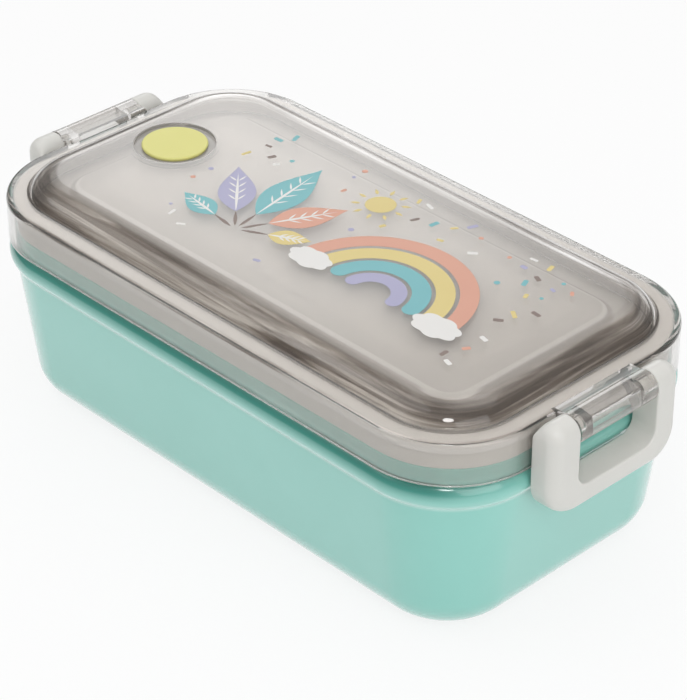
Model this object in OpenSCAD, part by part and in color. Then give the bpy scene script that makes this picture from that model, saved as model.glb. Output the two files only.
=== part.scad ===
// Bento lunch box: tub, divided tray, tray cover, clear lid with seal and vent, two swing clips.
// Z is up. The origin is at the middle of the foot of the tub. The clips are at the two X ends.
// Every ring-shaped form is one profile swept round a rounded rectangle. In a profile, x is
// measured outwards from the centre of the corner arcs, so a place that lies `i` inside the
// outer face of the lid skirt has x = corner_r - i.

/* [Overall] */
// Length over the lid skirt, without the clips
box_l = 200; // [175:1:230]
// Width over the lid skirt
box_w = 107; // [92:1:130]
// Plan radius of the corners at the lid skirt
corner_r = 28.5; // [26:0.5:34]
// Height of the tub from its foot to the lower edge of the lid skirt
tub_h = 55; // [48:1:75]

/* [Tub] */
// Thickness of the wall and the floor
tub_wall = 2.6; // [2.4:0.1:3.2]
// Lean of the wall from upright, in degrees
tub_draft = 6.8; // [4:0.2:8]
// How far the wall lies inside the lid skirt, level with the skirt's lower edge
wall_in = 0.8; // [0.6:0.1:1.4]
// Radius of the edge between the wall and the floor
foot_r = 13; // [8:0.5:15]
// Depth of the recess under the floor
foot_recess = 0.8; // [0.4:0.1:1.2]
// Width of the flat ring that the tub stands on
foot_ring = 5; // [3:0.5:6]
// Radius of the rolled shoulder under the lid
bead_r = 4.5; // [4.3:0.1:5]
// How far the middle of the shoulder lies below the lower edge of the lid skirt
bead_drop = 4.4; // [4:0.1:4.6]
// How far the shoulder stands outside the lid skirt
bead_out = 0.1; // [0:0.1:0.3]
// Radius of the hollow where the shoulder meets the wall
bead_fillet = 1; // [0.8:0.1:1.8]
// Height of the neck above the lower edge of the lid skirt
neck_h = 4.6; // [3.6:0.1:5]
// Thickness of the neck
neck_t = 1.5; // [1.2:0.1:1.7]
// Gap between the neck and the inside of the lid skirt
neck_gap = 0.9; // [0.6:0.1:1.2]

/* [Tray] */
// Thickness of the tray's walls, floor and divider
tray_wall = 1.6; // [1.2:0.1:2]
// Depth of the tray below the top of the neck
tray_depth = 50; // [40:1:50]
// Lean of the tray's walls from upright, in degrees
tray_draft = 7; // [6.8:0.2:9]
// Gap between the tray's wall and the tub's neck
tray_gap = 0.5; // [0.4:0.1:0.8]
// Radius of the edge between the tray's wall and floor
tray_r = 9; // [6:0.5:10]
// Height of the tray's collar above the neck of the tub
collar_h = 4.7; // [4.5:0.1:5.4]
// Place of the divider along the length, from the middle
divider_x = 28; // [-40:1:40]
// How far the top of the divider lies below the tray's ledge
divider_drop = 2; // [1:0.5:6]

/* [Tray cover] */
// Thickness of the cover
cover_t = 1.4; // [1:0.1:1.6]
// Gap round the cover's edge, inside the tray's collar
cover_gap = 0.4; // [0.3:0.1:0.8]
// Width of the flat border that rests on the tray's ledge
cover_border = 4; // [3:0.5:6]
// Width of the slope between the border and the raised panel
cover_slope = 13; // [8:0.5:14]
// Height of the raised panel above the border
cover_rise = 7; // [3:0.5:8]

/* [Lid] */
// Height of the lid skirt, from its lower edge to the top of the flange
skirt_h = 13.9; // [13.5:0.1:15.5]
// Thickness of the lid skirt
skirt_t = 2; // [1.6:0.1:2.2]
// Thickness of the flange over the seal
flange_t = 1.7; // [1.4:0.1:2]
// Radius of the outer edge of the flange
rim_r = 1.5; // [0.8:0.1:1.6]
// How far the foot of the dome lies inside the lid skirt
dome_in = 6.6; // [6.2:0.1:7.4]
// Height of the dome above the flange
dome_h = 5.4; // [4.5:0.1:6.5]
// Width of the rounded side of the dome
dome_side = 9.2; // [8:0.1:11]
// Radius of the hollow at the foot of the dome
dome_fillet = 1; // [0.5:0.1:1.4]
// Thickness of the dome
dome_t = 2; // [1.6:0.1:2.2]
// Thickness of the rib inside the seal
rib_t = 1.2; // [1:0.1:1.4]
// Depth of the seal's groove below the flange
groove_d = 3.8; // [3.4:0.1:4.1]

/* [Seal] */
// Gap between the seal and the two walls of its groove
seal_side_gap = 0.25; // [0.2:0.05:0.4]
// Gap between faces that rest on each other: tray, cover, seal and plug
rest_gap = 0; // [0:0.05:0.2]
// Gap between the seal's lip and the inner side of the tray's collar
lip_gap = 0.3; // [0.3:0.05:0.5]
// Depth of the lip under the seal
seal_lip = 1; // [0.6:0.1:1.2]

/* [Vent] */
// Distance from the end of the lid skirt to the centre of the vent
vent_end = 30; // [27:1:45]
// Distance of the vent from the middle across the width
vent_y = 2; // [-6:0.5:6]
// Diameter of the plug's cap
cap_d = 20; // [16:0.5:22]
// Height of the cap above the floor of its recess
cap_h = 1.1; // [0.9:0.1:1.6]
// Width of the recess that shows round the cap
recess_gap = 2.3; // [1.5:0.1:3]
// Depth of the recess
recess_d = 1; // [0.6:0.1:1.2]
// Diameter of the steam hole
hole_d = 6; // [4:0.5:8]
// Length of the plug's stem below the floor of the recess
stem_l = 2.2; // [1.8:0.1:2.4]

/* [Lugs] */
// Radius of the barrel of each lug, round the pins
lug_r = 4.6; // [4.2:0.1:4.6]
// Thickness of the plate that joins the barrel to the top of the flange
bridge_t = 1; // [0.6:0.1:1.2]
// How far that plate reaches over the flange
bridge_in = 1.8; // [1.5:0.1:3]
// Thickness of the walls round the pocket in the lug
pocket_wall = 1.5; // [1.2:0.1:1.8]

/* [Clips] */
// Width of a clip
clip_w = 49.4; // [42:0.1:54]
// Width of each arm of a clip
arm_w = 9.4; // [8:0.1:11]
// Radius of the arm round its pin
arm_r = 4.6; // [4.4:0.1:4.8]
// Gap between the arm and the lid skirt as the clip swings
skirt_gap = 0.3; // [0.3:0.1:0.6]
// How far the pin lies below the top of the flange
pivot_drop = 3; // [2.8:0.1:3.4]
// How far the clip reaches below the lower edge of the lid skirt
clip_drop = 13.6; // [12.5:0.1:16]
// Height of the crossbar of a clip
bar_h = 7.8; // [7:0.1:9]
// Gap between the back of a clip and the lid skirt
back_gap = 0.8; // [0.6:0.1:1.2]
// Radius of the outer edges of a clip
clip_edge_r = 4.2; // [2:0.1:4.3]
// Radius of the two lower corners of a clip, seen from the front
clip_corner_r = 9.5; // [8:0.5:11]
// Radius of the lower corners of the finger opening
finger_r = 4.5; // [2:0.1:6]
// Radius of the nose that catches under the tub's shoulder
nose_r = 1.2; // [1:0.1:1.4]
// Half the length of the nose
nose_half = 13; // [8:1:14]
// Radius of the pins on the clip's arms
pin_r = 1.75; // [1.5:0.05:2]
// Length of each pin
pin_l = 3.5; // [2.5:0.1:4.5]
// Radial running clearance of the pins in the lug
pin_clear = 0.05; // [0.03:0.01:0.08]
// Gap at the ends of the lug and of the pins, and between the nose and the shoulder
end_gap = 0.3; // [0.3:0.1:0.6]

/* [Hidden] */
$fn = 64;

// Steps used for a quarter turn of an arc in a profile
STEPS = 8;
// Room given to a cutter beyond the face that it cuts through
OVER = 1;
// Blunting of the small outer edges of the mouldings
EDGE = 0.5;

// Heights of the levels that the pieces share
neck_top = tub_h + neck_h;
ledge_z = tub_h - 0.4;
tray_seat = neck_top + rest_gap;
tray_ledge = tray_seat + tray_wall;
collar_top = neck_top + collar_h;
flange_top = tub_h + skirt_h;
flange_low = flange_top - flange_t;
dome_top = flange_top + dome_h;

// Tub wall: x = foot_x + lean * z on its outer face
lean = tan(tub_draft);
lean_len = sqrt(1 + lean * lean);
foot_x = corner_r - wall_in - lean * tub_h;
neck_x = corner_r - skirt_t - neck_gap;
bead_x = corner_r + bead_out - bead_r;
bead_z = tub_h - bead_drop;

// Tray wall: x = tray_x - tray_lean * (neck_top - z) on its outer face
tray_lean = tan(tray_draft);
tray_lean_len = sqrt(1 + tray_lean * tray_lean);
tray_x = neck_x - neck_t - tray_gap;
tray_floor = neck_top - tray_depth;
collar_x = neck_x;

// Dome: one arc from the foot of the dome to the flat top
dome_turn = 2 * atan(dome_h / dome_side);
dome_arc_r = dome_h / (1 - cos(dome_turn));
dome_x = corner_r - dome_in - dome_side;
dome_z = dome_top - dome_arc_r;
rib_x = corner_r - dome_in - 0.1;

// Vent
vent_x = vent_end - box_l / 2;
hole_r = hole_d / 2;
cap_r = cap_d / 2;
recess_r = cap_r + recess_gap;
recess_z = dome_top - recess_d;
vent_floor_t = 1.2;

// Clips: the pins' axis, and the lug between the arms
pivot_x = box_l / 2 + skirt_gap + arm_r;
pivot_z = flange_top - pivot_drop;
bore_r = pin_r + pin_clear;
finger_half = clip_w / 2 - arm_w;
lug_half = finger_half - end_gap;
clip_low = tub_h - clip_drop;
clip_back = box_l / 2 + back_gap;
clip_front = pivot_x + arm_r;
bar_top = clip_low + bar_h;

// Points of an arc about c from angle a to angle b
function arc(c, r, a, b, n = STEPS) = [for (i = [0:n]) c + r * [cos(a + (b - a) * i / n), sin(a + (b - a) * i / n)]];

// The lower of the two heights at which a line x = c0 + m * z is at distance d from point p
function low_meet(c0, m, p, d) =
    let (k = c0 - p[0], qa = 1 + m * m, qb = 2 * (m * k - p[1]), qc = k * k + p[1] * p[1] - d * d)
    (-qb - sqrt(qb * qb - 4 * qa * qc)) / (2 * qa);

// Sweeps a profile round the rounded rectangle of the box
module sweep_round() {
    half_l = box_l / 2 - corner_r;
    half_w = box_w / 2 - corner_r;
    for (c = [[1, 1, 0], [-1, 1, 90], [-1, -1, 180], [1, -1, 270]])
        translate([c[0] * half_l, c[1] * half_w, 0]) rotate(c[2]) rotate_extrude(angle = 90) children();
    for (side = [0, 180]) {
        rotate(side) translate([half_l, half_w, 0]) rotate([90, 0, 0]) linear_extrude(2 * half_w) children();
        rotate(side) translate([-half_l, half_w, 0]) rotate([90, 0, 90]) linear_extrude(2 * half_l) children();
    }
}

// Plate between the centres of the corner arcs, which closes the middle of a swept form
module middle_plate(low, high) {
    translate([corner_r - box_l / 2, corner_r - box_w / 2, low])
        cube([box_l - 2 * corner_r, box_w - 2 * corner_r, high - low]);
}

// Tub: foot ring, leaning wall, rolled shoulder and neck
module tub_profile() {
    fillet_c0 = foot_x + bead_fillet * lean_len;
    fillet_z = low_meet(fillet_c0, lean, [bead_x, bead_z], bead_r + bead_fillet);
    fillet_c = [fillet_c0 + lean * fillet_z, fillet_z];
    to_bead = atan2(bead_z - fillet_z, bead_x - fillet_c[0]);
    foot_c = [foot_x + lean * foot_r - foot_r * lean_len, foot_r];
    inner_r = foot_r - tub_wall;
    inner_x = neck_x - neck_t;
    inner_z = (inner_x - foot_x + tub_wall * lean_len) / lean;
    polygon(concat(
        [[0, foot_recess], [foot_c[0] - foot_ring - foot_recess, foot_recess], [foot_c[0] - foot_ring, 0]],
        arc(foot_c, foot_r, -90, -tub_draft, 10),
        arc(fillet_c, bead_fillet, 180 - tub_draft, to_bead, 4),
        arc([bead_x, bead_z], bead_r, to_bead - 180, asin((ledge_z - bead_z) / bead_r), 10),
        [[neck_x, ledge_z]],
        arc([neck_x - EDGE, neck_top - EDGE], EDGE, 0, 90, 3),
        arc([inner_x + EDGE, neck_top - EDGE], EDGE, 90, 180, 3),
        [[inner_x, inner_z]],
        arc(foot_c, inner_r, -tub_draft, -90, 8),
        [[0, tub_wall]]
    ));
}

module tub() color([0.56, 0.81, 0.76]) {
    sweep_round() tub_profile();
    middle_plate(foot_recess, tub_wall);
}

// Inner tray: collar on the neck of the tub, ledge for the cover, leaning wall and floor
module tray_profile() {
    foot_c = [
        tray_x - tray_lean * (tray_depth - tray_r) - tray_r * tray_lean_len,
        tray_floor + tray_r
    ];
    inner_x = tray_x - tray_wall * tray_lean_len - tray_lean * (neck_top - tray_ledge);
    polygon(concat(
        [[0, tray_floor]],
        arc(foot_c, tray_r, -90, -tray_draft, 8),
        [[tray_x, neck_top], [tray_x, tray_seat], [collar_x, tray_seat]],
        arc([collar_x - EDGE, collar_top - EDGE], EDGE, 0, 90, 3),
        arc([collar_x - tray_wall + EDGE, collar_top - EDGE], EDGE, 90, 180, 3),
        [[collar_x - tray_wall, tray_ledge], [inner_x, tray_ledge]],
        arc(foot_c, tray_r - tray_wall, -tray_draft, -90, 8),
        [[0, tray_floor + tray_wall]]
    ));
}

// Section of the tray's inside, used to trim the divider to the walls
module tray_inside_profile() {
    foot_c = [
        tray_x - tray_lean * (tray_depth - tray_r) - tray_r * tray_lean_len,
        tray_floor + tray_r
    ];
    grip = tray_wall / 2;
    polygon(concat(
        [[0, tray_floor + grip]],
        arc(foot_c, tray_r - grip, -90, -tray_draft, 8),
        [[tray_x - grip * tray_lean_len, neck_top], [0, neck_top]]
    ));
}

module tray_divider() {
    top = tray_ledge - divider_drop;
    low = tray_floor + tray_wall / 2;
    spread = tray_lean * (top - low);
    intersection() {
        translate([divider_x, box_w / 2, 0]) rotate([90, 0, 0]) linear_extrude(box_w) polygon(concat(
            [[-tray_wall / 2 - spread, low], [tray_wall / 2 + spread, low]],
            arc([0, top - tray_wall / 2], tray_wall / 2, 0, 180, 6)
        ));
        union() {
            sweep_round() tray_inside_profile();
            middle_plate(tray_floor + tray_wall / 2, neck_top);
        }
    }
}

module inner_tray() color([0.90, 0.88, 0.85]) {
    sweep_round() tray_profile();
    middle_plate(tray_floor, tray_floor + tray_wall);
    tray_divider();
}

// Tray cover: flat border, slope and raised panel, one thickness throughout
module tray_cover() color([0.87, 0.86, 0.83]) {
    edge_x = collar_x - tray_wall - cover_gap;
    low = tray_ledge + rest_gap;
    slope_x = edge_x - cover_border;
    panel_x = slope_x - cover_slope;
    slope = atan2(cover_rise, cover_slope);
    shift = cover_t * tan(slope / 2);
    sweep_round() polygon([
        [0, low + cover_rise],
        [panel_x - shift, low + cover_rise],
        [slope_x - shift, low],
        [edge_x, low],
        [edge_x, low + cover_t],
        [slope_x, low + cover_t],
        [panel_x, low + cover_rise + cover_t],
        [0, low + cover_rise + cover_t]
    ]);
    middle_plate(low + cover_rise, low + cover_rise + cover_t);
}

// Lid: skirt, flange, seal groove and dome
module lid_profile() {
    foot_reach = dome_arc_r + dome_fillet;
    foot_rise = flange_top + dome_fillet - dome_z;
    foot_c = [dome_x + sqrt(foot_reach * foot_reach - foot_rise * foot_rise), flange_top + dome_fillet];
    to_dome = atan2(dome_z - foot_c[1], dome_x - foot_c[0]);
    under_r = dome_arc_r - dome_t;
    rib_in = rib_x - rib_t;
    rib_low = flange_low - groove_d;
    polygon(concat(
        [[0, dome_top]],
        arc([dome_x, dome_z], dome_arc_r, 90, to_dome + 180, 10),
        arc(foot_c, dome_fillet, to_dome + 360, 270, 4),
        arc([corner_r - rim_r, flange_top - rim_r], rim_r, 90, 0, 5),
        arc([corner_r - EDGE, tub_h + EDGE], EDGE, 0, -90, 3),
        arc([corner_r - skirt_t + EDGE, tub_h + EDGE], EDGE, -90, -180, 3),
        [
            [corner_r - skirt_t, flange_low],
            [rib_x, flange_low],
            [rib_x, rib_low],
            [rib_in, rib_low]
        ],
        arc([dome_x, dome_z], under_r, acos((rib_in - dome_x) / under_r), 90, 8),
        [[0, dome_top - dome_t]]
    ));
}

// One lug: a barrel on the pins' axis, joined to the skirt and by a plate to the flange
module lug() {
    root_x = box_l / 2 - skirt_t / 2;
    bridge_top = flange_top + bridge_t;
    translate([0, lug_half, 0]) rotate([90, 0, 0]) linear_extrude(2 * lug_half) {
        translate([pivot_x, pivot_z]) circle(r = lug_r);
        polygon([
            [root_x, pivot_z - lug_r],
            [pivot_x, pivot_z - lug_r],
            [pivot_x, bridge_top],
            [box_l / 2 - bridge_in + bridge_t, bridge_top],
            [box_l / 2 - bridge_in, flange_top],
            [box_l / 2 - bridge_in, flange_top - EDGE],
            [root_x, flange_top - EDGE]
        ]);
    }
}

// The pocket that cores the lug from below, and the two blind bores for the pins
module lug_hollows() {
    half = lug_half - pin_l - pocket_wall - EDGE;
    low = pivot_z - lug_r - OVER;
    high = flange_top + bridge_t - pocket_wall;
    from_x = box_l / 2 + pocket_wall;
    to_x = pivot_x + lug_r - pocket_wall - EDGE;
    translate([from_x, -half, low]) cube([to_x - from_x, 2 * half, high - low]);
    for (turn = [-90, 90])
        translate([pivot_x, 0, pivot_z]) rotate([turn, 0, 0]) translate([0, 0, lug_half - pin_l])
            cylinder(r = bore_r, h = pin_l + OVER);
}

module lid() color([0.72, 0.68, 0.64, 0.55]) difference() {
    union() {
        sweep_round() lid_profile();
        middle_plate(dome_top - dome_t, dome_top);
        lug();
        rotate(180) lug();
        translate([vent_x, vent_y, recess_z - vent_floor_t]) cylinder(r = recess_r + vent_floor_t, h = dome_t);
    }
    lug_hollows();
    rotate(180) lug_hollows();
    translate([vent_x, vent_y, recess_z]) cylinder(r = recess_r, h = recess_d + OVER);
    translate([vent_x, vent_y, recess_z - vent_floor_t - OVER]) cylinder(r = hole_r, h = dome_t + 2 * OVER);
}

// Seal: a ring that lies on the tray's collar, with a soft lip inside it
module lid_seal() color([0.93, 0.92, 0.90]) {
    out_x = corner_r - skirt_t - seal_side_gap;
    in_x = rib_x + seal_side_gap;
    face_z = collar_top + rest_gap;
    lip_x = collar_x - tray_wall - lip_gap;
    sweep_round() polygon(concat(
        arc([out_x - EDGE, flange_low - EDGE], EDGE, 90, 0, 3),
        arc([out_x - EDGE, face_z + EDGE], EDGE, 0, -90, 3),
        [[lip_x, face_z], [lip_x - EDGE, face_z - seal_lip], [in_x, face_z - seal_lip]],
        arc([in_x + EDGE, flange_low - EDGE], EDGE, 180, 90, 3)
    ));
}

// Vent plug: a cap with a rounded edge, and a stem that closes the steam hole
module vent_plug() color([0.89, 0.87, 0.58]) {
    stem_r = hole_r - pin_clear;
    low = recess_z + rest_gap;
    translate([vent_x, vent_y, low]) rotate_extrude() polygon(concat(
        [[0, -stem_l], [stem_r - EDGE, -stem_l], [stem_r, EDGE - stem_l], [stem_r, 0], [cap_r - EDGE / 2, 0]],
        arc([cap_r - EDGE, EDGE], EDGE, 0, 0, 1),
        arc([cap_r - EDGE, cap_h - EDGE], EDGE, 0, 90, 4),
        [[0, cap_h]]
    ));
}

// Flat bar from x = 0 out to `reach` and `half` to each side, with its two outer corners rounded
module rounded_bar(reach, half) intersection() {
    translate([0, -half]) square([reach, 2 * half]);
    union() {
        translate([0, -half]) square([reach - clip_edge_r, 2 * half]);
        translate([0, clip_edge_r - half]) square([reach, 2 * (half - clip_edge_r)]);
        for (s = [-1, 1]) translate([reach - clip_edge_r, s * (half - clip_edge_r)]) circle(r = clip_edge_r);
    }
}

// Section across the lower edge of the clip: x is the way outwards, y is the clip's front
module clip_edge_section() intersection() {
    rounded_bar(clip_corner_r, clip_front);
    translate([0, clip_back]) square([clip_corner_r, clip_front - clip_back]);
}

// Finger opening seen from the front, with two rounded lower corners
module clip_opening_profile() {
    high = pivot_z + arm_r + OVER - bar_top;
    translate([-finger_half, bar_top + finger_r]) square([2 * finger_half, high - finger_r]);
    translate([finger_r - finger_half, bar_top]) square([2 * (finger_half - finger_r), high]);
    for (s = [-1, 1]) translate([s * (finger_half - finger_r), bar_top + finger_r]) circle(r = finger_r);
}

// Outside of the clip: rounded top about the pins' axis, straight sides, lower edge and its two corners
module clip_outside() {
    corner_y = clip_w / 2 - clip_corner_r;
    corner_z = clip_low + clip_corner_r;
    translate([pivot_x, 0, pivot_z]) rotate([90, 0, 0]) rotate_extrude() rounded_bar(arm_r, clip_w / 2);
    translate([clip_back, 0, corner_z]) linear_extrude(pivot_z - corner_z)
        rounded_bar(clip_front - clip_back, clip_w / 2);
    translate([0, corner_y, corner_z]) rotate([90, 0, 0]) rotate(-90) linear_extrude(2 * corner_y)
        clip_edge_section();
    translate([0, corner_y, corner_z]) rotate([90, 0, 90]) rotate(270) rotate_extrude(angle = 90)
        clip_edge_section();
    translate([0, -corner_y, corner_z]) rotate([90, 0, 90]) rotate(180) rotate_extrude(angle = 90)
        clip_edge_section();
}

// The nose under the shoulder of the tub, on a short rib behind the crossbar
module clip_nose() {
    reach = bead_r + nose_r + end_gap;
    nose_x = box_l / 2 - wall_in + nose_r;
    bead_cx = box_l / 2 - corner_r + bead_x;
    nose_z = bead_z - sqrt(reach * reach - (nose_x - bead_cx) * (nose_x - bead_cx));
    translate([nose_x, 0, nose_z]) rotate([90, 0, 0]) cylinder(r = nose_r, h = 2 * nose_half, center = true);
    translate([nose_x, -nose_half, nose_z - nose_r]) cube([clip_back + OVER - nose_x, 2 * nose_half, 2 * nose_r]);
}

module clip_pins() {
    for (turn = [-90, 90])
        translate([pivot_x, 0, pivot_z]) rotate([turn, 0, 0]) translate([0, 0, finger_half - pin_l])
            cylinder(r = pin_r, h = pin_l + OVER);
}

module clip() {
    back = pivot_x - arm_r - OVER;
    difference() {
        clip_outside();
        translate([back, 0, 0]) rotate([90, 0, 90]) linear_extrude(clip_front + OVER - back)
            clip_opening_profile();
    }
    clip_nose();
    clip_pins();
}

module clip_right() color([0.91, 0.91, 0.89]) clip();
module clip_left() color([0.91, 0.91, 0.89]) rotate(180) clip();

tub();
inner_tray();
tray_cover();
lid();
lid_seal();
vent_plug();
clip_right();
clip_left();
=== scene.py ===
# Bento lunch box: the looks. Sizes are in millimetres. Those of the pieces are the same as in
# part.scad, apart from some small details that have their own list below; the print is only here.
# The floor, the lamps, the camera and the depths of surface texture are in metres.
import math
import random
from collections import namedtuple

import bmesh
import bpy
from mathutils import Matrix, Vector


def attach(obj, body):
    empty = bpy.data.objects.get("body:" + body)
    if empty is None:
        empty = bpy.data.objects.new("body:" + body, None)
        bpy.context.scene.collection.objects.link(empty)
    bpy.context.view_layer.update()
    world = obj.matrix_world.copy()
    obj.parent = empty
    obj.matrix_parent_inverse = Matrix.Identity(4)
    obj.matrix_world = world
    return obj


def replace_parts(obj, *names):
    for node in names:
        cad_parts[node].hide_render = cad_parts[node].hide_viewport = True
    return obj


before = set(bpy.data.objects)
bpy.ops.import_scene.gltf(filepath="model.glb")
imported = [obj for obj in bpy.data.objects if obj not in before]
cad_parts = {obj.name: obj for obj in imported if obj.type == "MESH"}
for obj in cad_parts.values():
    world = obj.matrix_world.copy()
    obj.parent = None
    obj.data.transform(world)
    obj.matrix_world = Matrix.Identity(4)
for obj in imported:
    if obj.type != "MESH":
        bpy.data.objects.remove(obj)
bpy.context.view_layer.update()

MM = 0.001
scene = bpy.context.scene
collection = scene.collection

# ---------------------------------------------------------------- sizes
# Plan over the lid's skirt
BOX_L = 200.0
BOX_W = 107.0
CORNER = 28.5
HALF_L = BOX_L / 2 - CORNER  # from the middle to the centres of the corner arcs
HALF_W = BOX_W / 2 - CORNER

# Tub
TUB_H = 55.0
TUB_WALL = 2.6
DRAFT = math.radians(6.8)
WALL_IN = 0.8
FOOT_R = 13.0
FOOT_RECESS = 0.8
FOOT_RING = 5.0
LEDGE_DROP = 0.4
BEAD_R = 4.5
BEAD_DROP = 4.4
BEAD_OUT = 0.1
BEAD_FILLET = 1.0
NECK_H = 4.6
NECK_T = 1.5
NECK_GAP = 0.9

# Inner tray
TRAY_WALL = 1.6
TRAY_DEPTH = 50.0
TRAY_DRAFT = math.radians(7.0)
TRAY_GAP = 0.5
TRAY_R = 9.0
COLLAR_H = 4.7
DIVIDER_X = 28.0
DIVIDER_DROP = 2.0

# Tray cover
COVER_T = 1.4
COVER_GAP = 0.4
COVER_BORDER = 4.0
COVER_SLOPE = 13.0
COVER_RISE = 7.0

# Lid
SKIRT_H = 13.9
SKIRT_T = 2.0
FLANGE_T = 1.7
RIM_R = 1.5
DOME_IN = 6.6
DOME_H = 5.4
DOME_SIDE = 9.2
DOME_FILLET = 1.0
DOME_T = 2.0
RIB_T = 1.2
RIB_OFFSET = 0.1
GROOVE_D = 3.8

# Lid seal
SEAL_GAP = 0.25
SEAL_LIP = 1.0
LIP_GAP = 0.3

# Steam vent
VENT_X = -70.0
VENT_Y = 2.0
RECESS_R = 12.3
RECESS_D = 1.0
HOLE_R = 3.0
VENT_FLOOR = 1.2

# Lugs at the ends of the lid
LUG_R = 4.6
BRIDGE_T = 1.0
BRIDGE_IN = 1.8
POCKET_WALL = 1.5

# Clips
CLIP_W = 49.4
ARM_W = 9.4
ARM_R = 4.6
SKIRT_GAP = 0.3
PIVOT_DROP = 3.0
CLIP_DROP = 13.6
BAR_H = 7.8
BACK_GAP = 0.8
CLIP_EDGE = 4.2
CLIP_CORNER = 9.5
FINGER_R = 4.5
NOSE_R = 1.2
NOSE_HALF = 13.0
PIN_R = 1.75
PIN_L = 3.5
PIN_CLEAR = 0.05
END_GAP = 0.3

# Small edge rounds, and how far a cutter or a root reaches past what it meets
EDGE = 0.5
OVERSHOOT = 1.0

# Small details that part.scad draws more simply, a little differently or not at all
RECESS_EDGE = 1.2  # width of the slope round the foot's recess
RECESS_ROUND = 0.6
TRAY_STEP = 0.01  # upright end of the wall under the ledge
SEAL_TOP_GAP = 0.05
BOSS_SINK = 0.3  # from the dome's top down to the top of the boss, inside the dome
PIN_CHAMFER = 0.4
BLUNT = 0.6  # round of the clips' edges, apart from the outer front one

# What follows from the sizes
NECK_TOP = TUB_H + NECK_H
LEDGE_Z = TUB_H - LEDGE_DROP
TRAY_LEDGE = NECK_TOP + TRAY_WALL
COLLAR_TOP = NECK_TOP + COLLAR_H
COVER_TOP = TRAY_LEDGE + COVER_RISE + COVER_T
FLANGE_TOP = TUB_H + SKIRT_H
FLANGE_LOW = FLANGE_TOP - FLANGE_T
DOME_TOP = FLANGE_TOP + DOME_H
LEAN = math.tan(DRAFT)
LEAN_LEN = math.hypot(1, LEAN)
FOOT_X = CORNER - WALL_IN - LEAN * TUB_H
NECK_X = CORNER - SKIRT_T - NECK_GAP
BEAD_X = CORNER + BEAD_OUT - BEAD_R
BEAD_Z = TUB_H - BEAD_DROP
T_LEAN = math.tan(TRAY_DRAFT)
T_LEN = math.hypot(1, T_LEAN)
TRAY_X = NECK_X - NECK_T - TRAY_GAP
TRAY_FLOOR = NECK_TOP - TRAY_DEPTH
TRAY_FOOT = (TRAY_X - T_LEAN * (TRAY_DEPTH - TRAY_R) - TRAY_R * T_LEN, TRAY_FLOOR + TRAY_R)
DOME_TURN = 2 * math.atan(DOME_H / DOME_SIDE)
DOME_ARC = DOME_H / (1 - math.cos(DOME_TURN))
DOME_X = CORNER - DOME_IN - DOME_SIDE
DOME_Z = DOME_TOP - DOME_ARC
RIB_X = CORNER - DOME_IN - RIB_OFFSET
RECESS_Z = DOME_TOP - RECESS_D
PIVOT_X = BOX_L / 2 + SKIRT_GAP + ARM_R
PIVOT_Z = FLANGE_TOP - PIVOT_DROP
BORE_R = PIN_R + PIN_CLEAR
FINGER_HALF = CLIP_W / 2 - ARM_W
LUG_HALF = FINGER_HALF - END_GAP
CLIP_LOW = TUB_H - CLIP_DROP
CLIP_BACK = BOX_L / 2 + BACK_GAP
CLIP_FRONT = PIVOT_X + ARM_R
BAR_TOP = CLIP_LOW + BAR_H

# Fineness of the meshes
LOOP_STEPS = 28  # in each corner of the plan
EDGE_STEPS = 6  # in each small edge round
SMOOTH_DEG = 32  # an edge that turns more than this is sharp
SAME_POINT = 1e-4  # points nearer than this are one, in millimetres
MERGE_DIST = 2e-6  # the same after a boolean, in metres
THIN_DIST = 1e-6  # edges shorter than this are dissolved, in metres


# ---------------------------------------------------------------- mesh tools
def arc(centre, radius, start, end, steps):
    """Points of an arc in degrees, as (x, z)."""
    turn = [math.radians(start + (end - start) * i / steps) for i in range(steps + 1)]
    return [(centre[0] + radius * math.cos(t), centre[1] + radius * math.sin(t)) for t in turn]


def circle(cu, cv, r, steps):
    """Points of a circle, the first one not repeated."""
    turn = [2 * math.pi * i / steps for i in range(steps)]
    return [(cu + r * math.cos(t), cv + r * math.sin(t)) for t in turn]


def round_loop(x):
    """Points round the box's plan at distance x from the centres of the corner arcs."""
    points = []
    for k, (sx, sy) in enumerate(((1, 1), (-1, 1), (-1, -1), (1, -1))):
        for i in range(LOOP_STEPS + 1):
            t = math.radians(90 * k + 90 * i / LOOP_STEPS)
            points.append((sx * HALF_L + x * math.cos(t), sy * HALF_W + x * math.sin(t)))
    return points


def mark_edges(bm):
    """Smooth shading, with sharp edges by angle."""
    limit = math.radians(SMOOTH_DEG)
    for e in bm.edges:
        e.smooth = len(e.link_faces) == 2 and e.calc_face_angle(0.0) < limit
    for f in bm.faces:
        f.smooth = True


def finish_mesh(bm, name):
    """Turns a bmesh in millimetres into a linked object in metres."""
    bmesh.ops.recalc_face_normals(bm, faces=bm.faces)
    bm.normal_update()
    mark_edges(bm)
    bmesh.ops.scale(bm, vec=(MM, MM, MM), verts=bm.verts)
    mesh = bpy.data.meshes.new(name)
    bm.to_mesh(mesh)
    bm.free()
    obj = bpy.data.objects.new(name, mesh)
    collection.objects.link(obj)
    return obj


def bridge(bm, a, b):
    """Faces between two closed rings. A ring may be one vertex, or name a vertex many times."""
    for i in range(max(len(a), len(b))):
        j = i + 1
        around = (a[i % len(a)], a[j % len(a)], b[j % len(b)], b[i % len(b)])
        corners = list(dict.fromkeys(around))
        if len(corners) > 2 and bm.faces.get(corners) is None:
            bm.faces.new(corners)


def skin(bm, rings):
    """Joins a row of rings and closes both ends."""
    for a, b in zip(rings, rings[1:]):
        bridge(bm, a, b)
    bm.faces.new(rings[0])
    bm.faces.new(list(reversed(rings[-1])))


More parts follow.
